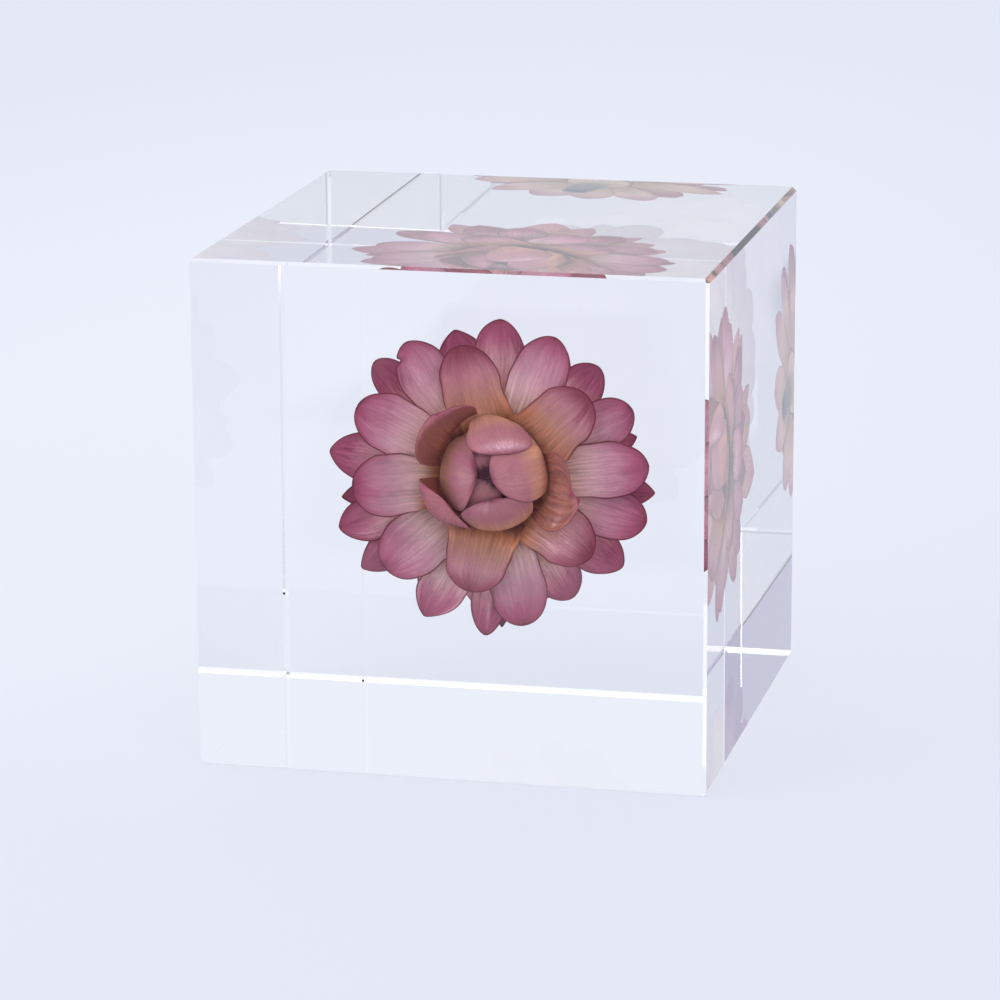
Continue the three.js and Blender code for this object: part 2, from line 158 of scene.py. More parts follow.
# Touches of colour on single bracts: kind, place along and across, reach along and across, and amount.
# Most pale touches are painted highlights and sheen, some are painted light on roots in shade; the
# touches that darken towards the bud's mouth are painted shade, and the dimming touches are mostly
# painted shade, partly a duller tone. Dark touches are the bracts' own flecks, and warm touches their
# own orange, save the broad one in the second cup, which is partly painted light.
TOUCHES = {
    # Pale touches halfway along outer bracts 1 and 13: painted light on roots in the middle ring's shade
    "outer_bract_1": (("dark", 0.9, -0.5, 0.12, 0.4, 0.5), ("pale", 0.58, 0.05, 0.15, 0.7, 0.9)),
    "outer_bract_2": (("dark", 0.88, 0.0, 0.1, 0.6, 0.9),),
    "outer_bract_4": (("dark", 0.9, -0.1, 0.08, 0.5, 0.8),),
    "outer_bract_5": (("dark", 0.82, 0.1, 0.12, 0.4, 0.9),),
    "outer_bract_8": (("pale", 0.76, 0.05, 0.16, 0.1, 1.0), ("dark", 0.76, -0.5, 0.1, 0.3, 0.7),
                      ("dark", 0.78, 0.45, 0.1, 0.25, 0.6)),
    "outer_bract_9": (("dull", 0.75, -0.3, 0.2, 0.6, 0.25), ("pale", 0.76, -0.98, 0.2, 0.12, 0.8),
                      ("pale", 0.84, 0.98, 0.16, 0.14, 1.0)),
    "outer_bract_10": (("pale", 0.8, -0.5, 0.1, 0.4, 0.4), ("dark", 0.89, 0.2, 0.05, 0.35, 1.0)),
    "outer_bract_11": (("pale", 0.66, 0.6, 0.2, 0.3, 0.8), ("dark", 0.9, 0.0, 0.1, 0.6, 0.5)),
    "outer_bract_13": (("dark", 0.88, -0.3, 0.12, 0.5, 0.9), ("pale", 0.58, 0.1, 0.12, 0.7, 0.9)),
    "outer_bract_14": (("dark", 0.85, 0.0, 0.12, 0.6, 0.9),),
    "outer_bract_15": (("dark", 0.93, 0.2, 0.07, 0.6, 0.5),),
    "middle_bract_1": (("pale", 0.6, 0.0, 0.2, 0.5, 0.4),),
    "middle_bract_2": (("dark", 0.9, -0.3, 0.12, 0.5, 0.4),),
    "middle_bract_4": (("dark", 0.82, 0.8, 0.12, 0.3, 0.5),),
    "middle_bract_5": (("dull", 0.6, 0.0, 0.4, 2.0, 0.3),),
    # Middle bract 6: painted highlight streaks on its lower half, painted light on its root in the third
    # cup's shade, and painted shade over all of it
    "middle_bract_6": (("dull", 0.6, 0.2, 0.25, 2.0, 0.2), ("pale", 0.72, 0.3, 0.16, 0.12, 0.6),
                       ("pale", 0.64, 0.02, 0.12, 0.08, 0.4), ("pale", 0.25, 0.1, 0.12, 0.8, 0.6),
                       ("warm", 0.2, 0.0, 0.12, 1.0, 0.4)),
    "middle_bract_7": (("warm", 0.3, 0.9, 0.1, 0.5, 1.0), ("warm", 0.22, 0.0, 0.1, 1.0, 0.6),
                       ("dull", 0.6, 0.0, 0.25, 2.0, 0.2)),
    "middle_bract_9": (("pale", 0.7, 0.2, 0.1, 0.35, 0.6), ("dark", 0.78, 0.85, 0.12, 0.3, 0.7)),
    "inner_bract_1": (("warm", 0.34, -0.8, 0.14, 0.4, 1.0), ("warm", 0.2, 0.0, 0.1, 1.0, 0.5)),
    "inner_bract_2": (("warm", 0.32, 0.9, 0.16, 0.35, 1.2), ("warm", 0.3, -0.1, 0.12, 0.5, 0.6)),
    "inner_bract_3": (("pale", 0.62, 0.1, 0.2, 0.6, 0.5), ("pale", 0.5, -0.6, 0.12, 0.14, 1.0),
                      ("pale", 0.34, -0.1, 0.08, 0.3, 0.6), ("warm", 0.2, 0.0, 0.1, 1.0, 0.7)),
    "inner_bract_4": (("pale", 0.16, -0.75, 0.1, 0.12, 0.8), ("warm", 0.2, 0.2, 0.12, 0.7, 0.9),
                      ("dull", 0.5, 0.0, 0.5, 2.0, 0.2)),
    # Bud bracts: pale touches are painted highlights and sheen, such as the bright lip of the first, and
    # touches that darken towards the mouth are painted shade
    "bud_bract_1": (("pale", 0.87, 0.0, 0.08, 0.7, 1.2),),
    "bud_bract_2": (("deep", 1.0, 0.0, 0.05, 0.4, 0.35), ("pale", 0.72, -0.3, 0.14, 0.3, 0.25)),
    "bud_bract_3": (("pale", 0.88, -0.35, 0.08, 0.3, 0.5), ("deep", 1.0, -0.3, 0.05, 0.3, 0.9)),
    "bud_bract_4": (("deep", 1.0, 0.0, 0.07, 0.6, 0.6), ("pale", 0.8, 0.1, 0.12, 0.3, 0.3),
                    ("dull", 0.32, 0.0, 0.25, 2.0, 0.4), ("warm", 0.42, 0.0, 0.14, 1.0, 0.6)),
    "bud_bract_5": (("deep", 1.0, 0.0, 0.2, 1.5, 1.8), ("dull", 0.8, 0.0, 0.3, 1.0, 0.2)),
    "bud_bract_6": (("deep", 1.0, 0.0, 0.14, 1.5, 1.8), ("dull", 0.8, 0.0, 0.3, 1.0, 0.2)),
    "cup_bract_1": (("warm", 0.22, -0.1, 0.22, 0.6, 0.9),),
    # Cup bract 2: the broad warm and pale touches are partly painted light in its shaded inside; the narrow
    # pale one is a crease
    "cup_bract_2": (("pale", 0.6, -0.75, 0.05, 0.1, 1.0), ("warm", 0.4, 0.0, 0.5, 1.5, 0.8),
                    ("pale", 0.45, 0.0, 0.4, 1.5, 0.32)),
}
# A tear in a bract's edge: side, place along, length of the mouth and depth as a share of the half width
TEARS = {"middle_bract_9": (1, 0.9, 0.022, 0.3)}

# Kinds of touches, each stored as a value at a bract's points: mostly painted highlights and sheen,
# own dark flecks, painted shade at the bud's mouth, own orange, and dimming that is mostly painted shade
PAINTED = ("pale", "dark", "deep", "warm", "dull")

# Grid of a bract, with rows that crowd towards the tip and columns that crowd towards the edges
BRACT_ROWS = 72
BRACT_COLUMNS = 41
ROW_CROWDING = 1.6
COLUMN_CROWDING = 0.8

# A bract's end, the bumps in its outline, its pleats, its edges' waves, its twist and its thin edges
ROUND_END = 0.5
POINT_SHARPENING = 0.4
UNEVEN = 0.025
SLOW_BUMPS = 8
QUICK_BUMPS = 23
QUICK_SHARE = 0.6
PLEAT_WAVES = (3, 5, 8)
EDGE_WAVES = (1.0, 1.8)
MOST_TWIST = 0.1
EDGE_THICKNESS = 0.4
THIN_REACH = 0.5


# Shapes

def eased(low, high, value):
    """0 below low, 1 above high, and the cubic 3s^2 - 2s^3 between them."""
    share = np.clip((value - low) / (high - low), 0, 1)
    return share * share * (3 - 2 * share)


def outline(along, waist, widest, point=0.0):
    """Relative half width along a bract: a quarter sine wave from the waist to the widest place, then
    1 - s^2 to the power 0.5 for a round end, or up to 0.9 for a pointed one."""
    opening = waist + (1 - waist) * np.sin(np.pi / 2 * np.clip(along / widest, 0, 1))
    end = np.clip((along - widest) / (1 - widest), 0, 1)
    closing = np.maximum((1 - end ** 2) ** (ROUND_END + POINT_SHARPENING * point), TIP_WIDTH)
    return np.where(along < widest, opening, closing)


def bowl_height(distance, level):
    """Height of a level's bowl: its root height plus its rise times 1 - (1 - d)^1.5, where d is the
    distance from the flower's axis as a share of the bowl's span."""
    out = np.clip((distance - BRACT_ROOT) / BOWL_SPAN, 0, 1)
    return LOWEST_ROOT + level * LEVEL_STEP + RISE_BY_LEVEL[level] * (1 - (1 - out) ** BOWL_CURVE)


def turned_about(forward, side, direction):
    """x and y of a point that lies forward and to the left of a direction given in degrees."""
    turn = np.radians(direction)
    return forward * np.cos(turn) - side * np.sin(turn), forward * np.sin(turn) + side * np.cos(turn)


def flat_bract(name, row, ring, draws):
    """Middle surface of a flat bract: a slightly uneven leaf outline laid on its level's bowl, dished
    across, bent back at the tip, with fine pleats along it, a wave along its edges and a slight twist.
    A tear cuts a bell-shaped mouth into one edge."""
    angle, reach, half_width, level, point, lean, droop = row
    phase = draws.uniform(0, 2 * np.pi)
    waves = draws.uniform(*EDGE_WAVES)
    twist = draws.uniform(-MOST_TWIST, MOST_TWIST)
    folds = draws.uniform(0, 2 * np.pi, len(PLEAT_WAVES))
    bumps = draws.uniform(0, 2 * np.pi, 4)

    def surface(along, across):
        forward = BRACT_ROOT + (reach - BRACT_ROOT) * along
        half = half_width * outline(along, ring["waist"], ring["widest"], point)
        slow = np.sin(SLOW_BUMPS * along + np.where(across > 0, bumps[0], bumps[1]))
        quick = np.sin(QUICK_BUMPS * along + np.where(across > 0, bumps[2], bumps[3]))
        half = half * (1 + UNEVEN * (slow + QUICK_SHARE * quick))
        if name in TEARS:
            side, place, mouth, depth = TEARS[name]
            half = half * (1 - depth * (across * side > 0) * np.exp(-((along - place) / mouth) ** 2))
        x, y = turned_about(forward, across * half + lean * along ** 2, angle)
        dish = ring["camber"] * along * (across ** 2 - 1 / 3)
        wave = ring["ripple"] * along * across ** 2 * np.sin(2 * np.pi * waves * along + phase)
        pleats = sum(np.sin(np.pi * count * across + fold) for count, fold in zip(PLEAT_WAVES, folds))
        bend = ring["recurve"] * along ** 6 + droop * along ** 2
        height = bowl_height(np.hypot(x, y), ring["level"] + level) + dish + wave - bend
        height += ring["pleat"] * along * (1 - along) * pleats + twist * across * along ** 2
        edge = np.minimum((1 - np.abs(across)) * half, (1 - along) * (reach - BRACT_ROOT))
        return np.stack((x, y, height), -1), edge
    return surface


def along_curve(points, share):
    """Points on the uniform Catmull-Rom curve through a short list, by share of its parameter."""
    knots = np.array(points, float)
    knots = np.vstack((2 * knots[0] - knots[1], knots, 2 * knots[-1] - knots[-2]))
    spans = len(points) - 1
    first = np.clip(np.floor(share * spans), 0, spans - 1).astype(int)
    t = (share * spans - first)[..., None]
    a, b, c, d = (knots[first + i] for i in range(4))
    return 0.5 * (2 * b + (c - a) * t + (2 * a - 5 * b + 4 * c - d) * t ** 2
                  + (3 * b - a - 3 * c + d) * t ** 3)


def cup_bract(direction, half_spread, widest, lean, change, first, last):
    """Middle surface of a cup bract: a profile of radius and height carried round the bud's centre,
    through a spread that closes to a rounded and leaning lip, going smoothly from the first profile to
    the last."""
    def surface(along, across):
        turn_over = eased(*change, across)[..., None]
        profile = (1 - turn_over) * along_curve(first, along) + turn_over * along_curve(last, along)
        radius, height = np.moveaxis(profile, -1, 0)
        spread = half_spread * outline(along, CUP_WAIST, widest)
        turn = np.radians(direction + across * spread + lean * along ** 2)
        x = BUD_CENTRE[0] + radius * np.cos(turn)
        y = BUD_CENTRE[1] + radius * np.sin(turn)
        length = np.hypot(*(np.array(first[-1]) - first[0]))
        edge = np.minimum((1 - np.abs(across)) * radius * np.radians(spread), (1 - along) * length)
        return np.stack((x, y, height), -1), edge
    return surface


def bud_bract(direction, tip_angle, half_spread, offset, waist, widest, right):
    """Middle surface of a bud bract: a patch of a ball, from its equator up over its top, turned about
    y over the first stretch of its length, whose radius dips round the mouth of the bud by a bell curve
    of the angle from the mouth."""
    def surface(along, across):
        polar = np.radians(BUD_ROOT_ANGLE + (tip_angle - BUD_ROOT_ANGLE) * along)
        half = half_spread * outline(along, waist, widest)
        aside = np.radians(across * half)
        x, y = turned_about(np.sin(polar) * np.cos(aside), np.sin(aside), direction)
        up = np.cos(polar) * np.cos(aside)
        swing = np.radians(right * eased(0, BUD_TURN_STRETCH, along))
        x, up = x * np.cos(swing) + up * np.sin(swing), up * np.cos(swing) - x * np.sin(swing)
        mouth = np.radians(DIMPLE_TILT)
        from_mouth = np.degrees(np.arccos(np.clip(up * np.cos(mouth) - x * np.sin(mouth), -1, 1)))
        radius = BUD_RADIUS + offset - BUD_DIMPLE * np.exp(-(from_mouth / DIMPLE_ANGLE) ** 2)
        length = np.radians(BUD_ROOT_ANGLE - tip_angle) * BUD_RADIUS
        edge = np.minimum((1 - np.abs(across)) * np.radians(half) * BUD_RADIUS, (1 - along) * length)
        place = np.stack((x, y * BUD_TALL, up), -1) * radius[..., None] + np.array(BUD_CENTRE)
        return place, edge
    return surface


def flower_matrix():
    """Turn from the flower's frame to the block's: tilted up and to the right of straight forward."""
    up = Matrix.Rotation(np.radians(90 - TILT_UP), 3, "X")
    return np.array(up @ Matrix.Rotation(np.radians(TILT_RIGHT), 3, "Y"))


def placed(points):
    """Flower points in millimetres to block points in metres."""
    return (points @ flower_matrix().T + np.array(FLOWER_CENTRE)) * MM


def grid_faces(rows, columns, start, flip=False):
    """Quads of a grid of points counted row by row from a start."""
    corner = start + (np.arange(rows - 1)[:, None] * columns + np.arange(columns - 1)).ravel()
    order = (0, 1, columns + 1, columns) if flip else (0, columns, columns + 1, 1)
    return corner[:, None] + np.array(order)


def rim_faces(rows, columns):
    """Quads that join the edge of the first grid to the edge of the second, all the way round."""
    grid = np.arange(rows * columns).reshape(rows, columns)
    loop = np.concatenate((grid[0, :-1], grid[:-1, -1], grid[-1, :0:-1], grid[:0:-1, 0]))
    after = np.roll(loop, -1)
    return np.stack((loop, after, after + rows * columns, loop + rows * columns), -1)


def new_piece(name, points, faces, marks=None, smooth=True):
    """A mesh object of points in metres and quads, with named values at its points."""
    mesh = bpy.data.meshes.new(name)
    mesh.from_pydata(points.reshape(-1, 3).tolist(), [], faces.tolist())
    for mark, values in (marks or {}).items():
        layer = mesh.attributes.new(mark, "FLOAT", "POINT")
        layer.data.foreach_set("value", np.ascontiguousarray(values, np.float32).ravel())
    mesh.polygons.foreach_set("use_smooth", np.full(len(mesh.polygons), smooth))
    mesh.update()
    piece = bpy.data.objects.new(name, mesh)
    bpy.context.scene.collection.objects.link(piece)
    return piece


def touched(name, kind, along, across):
    """Sum of a bract's touches of one kind: bell curves of the distance from each touch's place."""
    patches = [amount * np.exp(-((along - a) / reach) ** 2 - ((across - c) / spread) ** 2)
               for mark, a, c, reach, spread, amount in TOUCHES.get(name, ()) if mark == kind]
    return sum(patches, np.zeros_like(along))


def shell(name, surface, tone):
    """A thin closed shell: the middle surface moved half a thickness to each side along its normal,
    thinner towards the edge, with a rim that joins the two sides."""
    along = 1 - (1 - np.linspace(0, 1, BRACT_ROWS)) ** ROW_CROWDING
    across = np.sin(np.linspace(-1, 1, BRACT_COLUMNS) * np.pi / 2 * COLUMN_CROWDING)
    across = across / np.sin(np.pi / 2 * COLUMN_CROWDING)
    along, across = np.meshgrid(along, across, indexing="ij")
    middle, edge = surface(along, across)
    normal = np.cross(np.gradient(middle, axis=0), np.gradient(middle, axis=1))
    normal /= np.linalg.norm(normal, axis=-1, keepdims=True) + 1e-12
    fullness = EDGE_THICKNESS + (1 - EDGE_THICKNESS) * eased(0, THIN_REACH, edge)
    half = BRACT_THICKNESS / 2 * fullness[..., None]
    points = placed(np.stack((middle + half * normal, middle - half * normal)))
    rows, columns = along.shape
    faces = np.vstack((grid_faces(rows, columns, 0), grid_faces(rows, columns, rows * columns, flip=True),
                       rim_faces(rows, columns)))
    both = np.ones((2, 1, 1))
    inner = np.stack((np.ones_like(along), np.zeros_like(along)))
    marks = {"along": both * along, "across": both * across, "edge": both * edge, "inner": inner,
             "tone": np.full_like(inner, tone)}
    marks.update((kind, both * touched(name, kind, along, across)) for kind in PAINTED)
    return new_piece(f"{name}_paper", points, faces, marks)


def turned(name, profile, rows, sides):
    """A solid of revolution about the flower's axis, its profile straight between its points, that
    drifts sideways below the top of the stub."""
    spots = np.linspace(0, len(profile) - 1, rows)
    radius, height = (np.interp(spots, np.arange(len(profile)), values) for values in zip(*profile))
    angle = np.linspace(0, 2 * np.pi, sides, endpoint=False)
    ring = np.stack((radius[1:-1, None] * np.cos(angle), radius[1:-1, None] * np.sin(angle),
                     np.broadcast_to(height[1:-1, None], (rows - 2, sides))), -1).reshape(-1, 3)
    ends = np.array(((0, 0, height[0]), (0, 0, height[-1])))
    upright = np.vstack((ring, ends))
    below = np.minimum(upright[:, 2:] - STUB_TOP, 0)
    points = placed(upright + below * np.array((*STUB_LEAN, 0)))
    row, column = np.meshgrid(np.arange(rows - 3), np.arange(sides), indexing="ij")
    corner, after = row * sides + column, row * sides + (column + 1) % sides
    walls = np.stack((corner, after, after + sides, corner + sides), -1).reshape(-1, 4).tolist()
    first, last = np.arange(sides), (rows - 3) * sides + np.arange(sides)
    low = np.stack((np.roll(first, -1), first, np.full(sides, len(ring))), -1).tolist()
    high = np.stack((last, np.roll(last, -1), np.full(sides, len(ring) + 1)), -1).tolist()
    heights = np.append(np.repeat(height[1:-1], sides), (height[0], height[-1]))
    radii = np.append(np.repeat(radius[1:-1], sides), (0, 0))
    mesh_faces = np.empty(len(walls) + 2 * sides, object)
    mesh_faces[:] = walls + low + high
    return new_piece(name, points, mesh_faces, {"height": heights, "radius": radii})


# Shader maths

class Socket:
    """A shader value that takes part in Python arithmetic: each operator adds one Math node."""

    def __init__(self, finish, socket):
        self.finish, self.socket = finish, socket

    def maths(self, operation, first, second=0.0):
        return self.finish.value("ShaderNodeMath", {"operation": operation}, {0: first, 1: second})

    def __add__(self, other):
        return self.maths("ADD", self, other)

    def __sub__(self, other):
        return self.maths("SUBTRACT", self, other)

    def __rsub__(self, other):
        return self.maths("SUBTRACT", other, self)

    def __mul__(self, other):
        return self.maths("MULTIPLY", self, other)

    def __truediv__(self, other):
        return self.maths("DIVIDE", self, other)

    def __pow__(self, other):
        return self.maths("POWER", self, other)

    def __abs__(self):
        return self.maths("ABSOLUTE", self)

    __radd__, __rmul__ = __add__, __mul__


class Finish:
    """The node tree of a new material, or of the world around the scene."""

    def __init__(self, name, family="materials"):
        self.data = getattr(bpy.data, family).new(name)
        self.data.use_nodes = True
        self.tree = self.data.node_tree
        self.tree.nodes.clear()

    def node(self, kind, settings, sockets):
        """Adds a node of a kind, sets its settings first and then its sockets' values or links."""
        made = self.tree.nodes.new(kind)
        for key, setting in settings.items():
            if key == "stops":
                ramp = made.color_ramp
                while len(ramp.elements) < len(setting):
                    ramp.elements.new(0.5)
                for element, (place, colour) in zip(ramp.elements, setting):
                    element.position, element.color = place, (*colour, 1)
            else:
                setattr(made, key, setting)
        for key, value in sockets.items():
            if isinstance(value, Socket):
                self.tree.links.new(value.socket, made.inputs[key])
            else:
                made.inputs[key].default_value = value
        return made

    def value(self, kind, settings, sockets, output=0):
        return Socket(self, self.node(kind, settings, sockets).outputs[output])

    def mark(self, name):
        """A value stored at the piece's points."""
        return self.value("ShaderNodeAttribute", {"attribute_name": name}, {}, "Fac")

    def eased(self, value, low, high):
        """0 to 1 as the value goes smoothly from low to high."""
        return self.value("ShaderNodeMapRange", {"interpolation_type": "SMOOTHSTEP"},
                          {"Value": value, "From Min": low, "From Max": high})

    def vector(self, x, y, z):
        return self.value("ShaderNodeCombineXYZ", {}, {0: x, 1: y, 2: z})

    def noise(self, vector, scale, detail=3.0, roughness=0.5):
        return self.value("ShaderNodeTexNoise", {},
                          {"Vector": vector, "Scale": scale, "Detail": detail, "Roughness": roughness})

    def ramp(self, value, stops):
        return self.value("ShaderNodeValToRGB", {"stops": stops}, {"Fac": value}, "Color")

    def mixed(self, factor, first, second, blend="MIX"):
        """Colours mixed by a factor: Mix nodes hold their colour sockets at 6 and 7."""
        settings = {"data_type": "RGBA", "blend_type": blend}
        pair = {6: first, 7: second}
        colours = {key: (*c, 1) if isinstance(c, tuple) else c for key, c in pair.items()}
        return self.value("ShaderNodeMix", settings, {0: factor, **colours}, 2)

    def output(self, surface, volume=None):
        made = self.node("ShaderNodeOutputMaterial", {}, {"Surface": surface})
        if volume:
            self.tree.links.new(volume.socket, made.inputs["Volume"])
        return self.data


# How much paler a paint is than it looks inside the block, and the palest paint
LIFT = 1.3
PALEST = 0.95


def linear(red, green, blue):
    """A display colour of 0 to 255 as linear light."""
    share = np.array((red, green, blue)) / 255
    light = np.where(share <= 0.04045, share / 12.92, ((share + 0.055) / 1.055) ** 2.4)
    return tuple(float(part) for part in light)


def seen(red, green, blue):
    """The paint that looks like a display colour inside the block, where part of the light is lost."""
    return tuple(min(LIFT * part, PALEST) for part in linear(red, green, blue))


# Paints of the flower
# Pale pink of painted highlights and sheen, also used for painted light on shaded roots and for pale folds
PALE_SHEEN = seen(214, 178, 190)
# Cream and pale rose are lifted to the palest paint, as painted light on roots in the shade of the bracts
# above
CREAM = (0.95, 0.72, 0.60)
STRAW = seen(198, 172, 150)
ORANGE = seen(186, 124, 86)
RUST = seen(130, 76, 58)
SAND = seen(186, 144, 124)
ROSE = seen(192, 136, 152)
# Lifted like cream, as painted light on shaded roots
PALE_ROSE = (0.95, 0.69, 0.71)
LILAC = seen(194, 150, 166)
MAUVE = seen(180, 126, 148)
ORCHID = seen(160, 86, 118)
MAGENTA = seen(146, 68, 102)
WINE = seen(138, 64, 88)
GREY_MAUVE = seen(178, 130, 140)
GREY_ROSE = seen(176, 134, 130)
DUSK = seen(142, 84, 98)
MAROON = seen(100, 34, 46)
PLUM = seen(118, 48, 80)
BROWN = seen(104, 60, 52)
TAN = (0.84, 0.44, 0.29)
BARK = seen(128, 82, 70)
PINK = seen(174, 116, 124)
UMBER = seen(84, 46, 42)
# Painted shade at the bud's mouth and in the crevices round it
SHADE_DARK = seen(58, 14, 32)


# Finishes

# Noises in the bracts' paper: waves across and along a bract, detail and roughness
FIBRES = (7.0, 1.6, 3.0, 0.6)
STRANDS = (15.0, 2.0, 3.0, 0.6)
CLOUD = (1.5, 3.0, 3.0, 0.5)
SPECKS = (5.0, 6.0, 5.0, 0.7)
MOTTLE = (14.0, 22.0, 4.0, 0.65)

# How much of each layer of colour shows where it is fullest, each noise's part in light and shade, and
# how much light shines through the paper, with its tint
BLUSH = 0.3
EDGE_BAND = 0.6
ROOT_THREADS = 0.32
RIM_LINE = 0.9
FIBRE_SHADE = 0.26
STRAND_SHADE = 0.32
MOTTLE_SHADE = 0.36
MEAN_SHADE = 0.47
SHEER = 0.3
SHEER_TINT = (0.85, 0.54, 0.57, 1)


def resin():
    """Clear cast resin: plain transmission with a faint lavender absorption."""
    finish = Finish("clear_resin")
    glass = finish.value("ShaderNodeBsdfPrincipled", {}, {
        "Base Color": (1, 1, 1, 1), "Roughness": 0.0, "IOR": RESIN_INDEX, "Transmission Weight": 1.0})
    depth = finish.value("ShaderNodeVolumeAbsorption", {},
                         {"Color": RESIN_TINT, "Density": RESIN_DENSITY})
    return finish.output(glass, depth)


def bract_paper(name, front, back, tip, rim, rim_width, fleck, streak, band=0.8, gloss=0.12, grain=1.0):
    """Papery bract: colour stops from root to tip on each side, broken up by lengthwise fibres, with a
    darker band towards the edge, partly the tip's own colour and partly painted shade, a thin rim, flecks
    near the tip and the bract's own touches, among them painted highlights, sheen and shade. Light
    shines through it a little, except where the bud's mouth is painted dark as shade."""
    finish = Finish(name)
    along, across, edge = finish.mark("along"), finish.mark("across"), finish.mark("edge")
    tone, inner = finish.mark("tone"), finish.mark("inner")
    seed = tone * 37.0 + inner * 5.0

    def noise(kind):
        wide, long, detail, roughness = kind
        return finish.noise(finish.vector(across * wide, along * long, seed), 1.0, detail, roughness)

    fibres, cloud, specks, mottle = (noise(kind) for kind in (FIBRES, CLOUD, SPECKS, MOTTLE))
    strands = finish.eased(noise(STRANDS), 0.3, 0.7)
    place = along + (fibres - 0.5) * streak + (cloud - 0.5) * 0.2 + tone * 0.04
    face = finish.mixed(inner, finish.ramp(place, back), finish.ramp(place, front))
    blush = finish.eased(cloud, 0.5, 0.7) * finish.eased(along, 0.4, 0.7)
    blushed = finish.mixed(blush * BLUSH, face, MAGENTA)
    # Towards the tip the edges darken to the tip colour: partly the bract's own darker tip, partly painted
    # shade where the edges curl
    near_edge = 1.0 - finish.eased(edge / band + (cloud - 0.5) * 0.6, 0.0, 1.0)
    outward = finish.eased(along, 0.4, 0.9)
    banded = finish.mixed(near_edge * outward * EDGE_BAND, blushed, tip)
    flecked = finish.mixed(finish.eased(specks, 0.5, 0.66) * outward * fleck, banded, PLUM)
    warmed = finish.mixed(finish.mark("warm") * finish.eased(fibres, 0.3, 0.6), flecked, ORANGE)
    stained = finish.mixed(finish.mark("dark") * finish.eased(specks, 0.38, 0.6), warmed, PLUM)
    # Painted shade: darker towards the bud's mouth and in its crevices
    hollow_shaded = finish.mixed(finish.mark("deep") * (0.5 + fibres), stained, SHADE_DARK)
    # Pale touches: painted highlights and sheen, painted light on shaded roots, and pale folds and creases
    pale_and_sheen = finish.mark("pale") * (0.2 + 0.5 * strands + 0.5 * finish.eased(mottle, 0.45, 0.65))
    paled = finish.mixed(pale_and_sheen, hollow_shaded, PALE_SHEEN)
    threads = (1.0 - strands) * (1.0 - finish.eased(along, 0.3, 0.62))
    fibred = finish.mixed(threads * (ROOT_THREADS * grain), paled, RUST)
    uneven = fibres * FIBRE_SHADE + strands * STRAND_SHADE + mottle * MOTTLE_SHADE - MEAN_SHADE
    grained = 1.0 + uneven * grain
    # Dimming touches: mostly painted shade on bracts that catch more light than the rest, partly a duller
    # tone
    shade = grained * (1.0 - finish.mark("dull"))
    veined = finish.mixed(1.0, fibred, finish.vector(shade, shade, shade), "MULTIPLY")
    line = 1.0 - finish.eased(edge + (fibres - 0.5) * 0.08, rim_width * 0.4, rim_width)
    bordered = finish.mixed(line * finish.eased(along, 0.2, 0.5) * RIM_LINE, veined, rim)
    relief = finish.value("ShaderNodeBump", {}, {
        "Strength": 0.4, "Distance": 0.05 * MM, "Height": fibres * 0.6 + strands * 0.6 + mottle * 0.8})
    paper = finish.value("ShaderNodeBsdfPrincipled", {}, {
        "Base Color": bordered, "Roughness": 0.38 + cloud * 0.25, "Specular IOR Level": gloss,
        "Normal": relief})
    glow = finish.value("ShaderNodeBsdfTranslucent", {}, {"Color": SHEER_TINT})
    thin = SHEER - SHEER * finish.eased(finish.mark("deep"), 0.0, 0.6)
    both = finish.value("ShaderNodeMixShader", {}, {0: thin, 1: paper, 2: glow})
    return finish.output(both)


BACK_STOPS = ((0.0, STRAW), (0.45, CREAM), (0.75, ROSE), (1.0, ORCHID))


def outer_paper():
    """Magenta towards the tip, cream where the middle ring covers it."""
    stops = ((0.5, CREAM), (0.6, PALE_ROSE), (0.7, ROSE), (0.84, ORCHID), (1.0, WINE))
    return bract_paper("outer_bract_paper", stops, BACK_STOPS, WINE, MAROON,
                       rim_width=0.15, fleck=0.8, streak=0.2)


def middle_paper():
    """Mauve with a wine-red end, cream and then orange towards the root."""
    stops = ((0.12, UMBER), (0.2, ORANGE), (0.3, CREAM), (0.45, PALE_ROSE), (0.62, LILAC), (0.78, MAUVE),
             (0.91, ORCHID), (1.0, WINE))
    return bract_paper("middle_bract_paper", stops, BACK_STOPS, WINE, MAROON,
                       rim_width=0.15, fleck=0.3, streak=0.2)


def inner_paper():
    """Greyish mauve with a maroon end, sand and then orange towards the root."""
    stops = ((0.12, UMBER), (0.2, ORANGE), (0.3, TAN), (0.42, SAND), (0.54, GREY_ROSE),
             (0.7, GREY_MAUVE), (0.86, DUSK), (1.0, MAROON))
    return bract_paper("inner_bract_paper", stops, BACK_STOPS, WINE, MAROON,
                       rim_width=0.15, fleck=0.15, streak=0.28)


def cup_paper():
    """Brown inside with a pink lip, pink outside."""
    stops = ((0.0, BROWN), (0.12, RUST), (0.35, BARK), (0.8, BARK), (0.92, PINK))
    outside = ((0.0, CREAM), (0.3, PINK), (1.0, PINK))
    return bract_paper("cup_bract_paper", stops, outside, PINK, WINE,
                       rim_width=0.1, fleck=0.1, streak=0.15, band=0.25, gloss=0.05)


def bud_paper():
    """Pink outside, tan below, and brown on the inner side."""
    outside = ((0.0, UMBER), (0.1, TAN), (0.28, TAN), (0.58, PINK), (0.9, PINK), (1.0, WINE))
    stops = ((0.0, BROWN), (1.0, UMBER))
    return bract_paper("bud_bract_paper", stops, outside, WINE, UMBER,
                       rim_width=0.07, fleck=0.1, streak=0.12, band=0.3, gloss=0.25, grain=0.55)


def back_paper():
    """Straw-coloured, mauve at the tip."""
    stops = ((0.0, STRAW), (0.6, CREAM), (1.0, MAUVE))
    return bract_paper("back_bract_paper", stops, stops, ROSE, ORCHID,
                       rim_width=0.12, fleck=0.2, streak=0.3)


